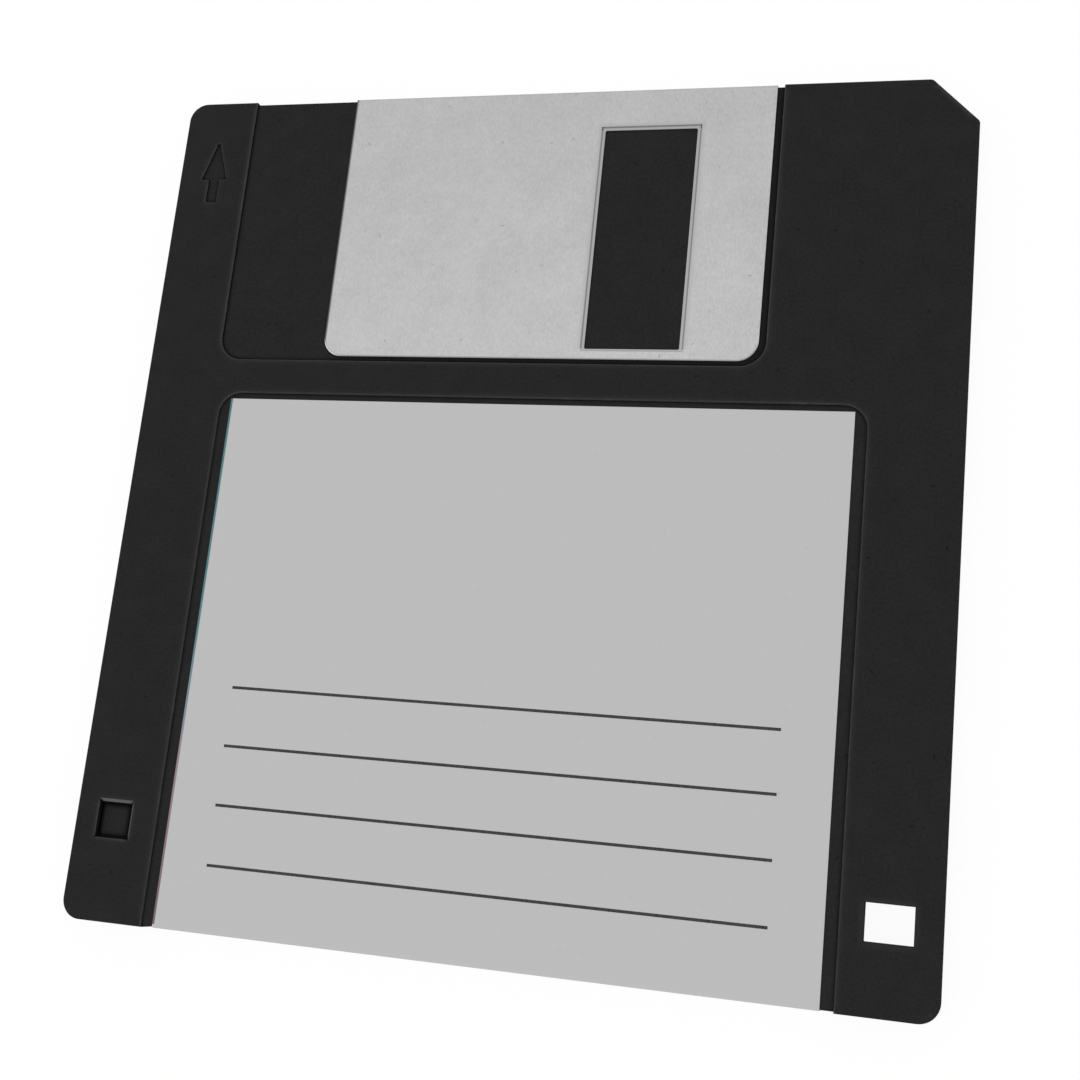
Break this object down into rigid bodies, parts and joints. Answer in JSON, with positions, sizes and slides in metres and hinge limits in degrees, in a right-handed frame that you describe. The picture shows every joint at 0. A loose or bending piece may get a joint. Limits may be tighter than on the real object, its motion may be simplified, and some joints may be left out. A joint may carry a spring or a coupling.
{
  "type": "floppy disk",
  "caption": "Rigid-cased magnetic disk with a sprung metal shutter, paper label, metal drive hub and sliding write-protect tab.",
  "frame": {"origin": "under the middle of the case, on the plane that its back face rests on", "axes": "+Z out of the label side, +Y towards the shutter edge, +X to the right as the label is read"},
  "size_m": [0.09, 0.094, 0.0033],
  "materials": {
    "case_plastic": "matte",
    "tab_plastic": "matte",
    "liner_fabric": "matte",
    "lifter_film": "satin",
    "wear_plastic": "satin",
    "coated_film": "satin",
    "hub_steel": "satin",
    "shutter_metal": "satin",
    "spring_steel": "polished",
    "label_paper": "matte"
  },
  "bodies": {
    "case": {"upper_shell": "case_plastic", "lower_shell": "case_plastic", "upper_liner": "liner_fabric", "lower_liner": "liner_fabric", "liner_lifter": "lifter_film", "hub_wear_plate": "wear_plastic", "shutter_spring": "spring_steel", "label": "label_paper"},
    "shutter": {"shutter": "shutter_metal"},
    "disk": {"magnetic_disk": "coated_film", "hub": "hub_steel"},
    "tab": {"write_protect_tab": "tab_plastic"}
  },
  "joints": [
    {"name": "shutter_slide", "type": "slide", "parent": "case", "child": "shutter", "axis": [-1, 0, 0], "range_m": [0, 0.0108], "stiffness_N_per_m": 30, "springref_m": -0.01, "deforming": ["shutter_spring"]},
    {"name": "tab_slide", "type": "slide", "parent": "case", "child": "tab", "axis": [0, -1, 0], "range_m": [0, 0.0048]},
    {"name": "disk_spin", "type": "hinge", "parent": "case", "child": "disk", "pos_m": [0, -0.0018, 0.0016], "axis": [0, 0, 1], "continuous": true}
  ]
}
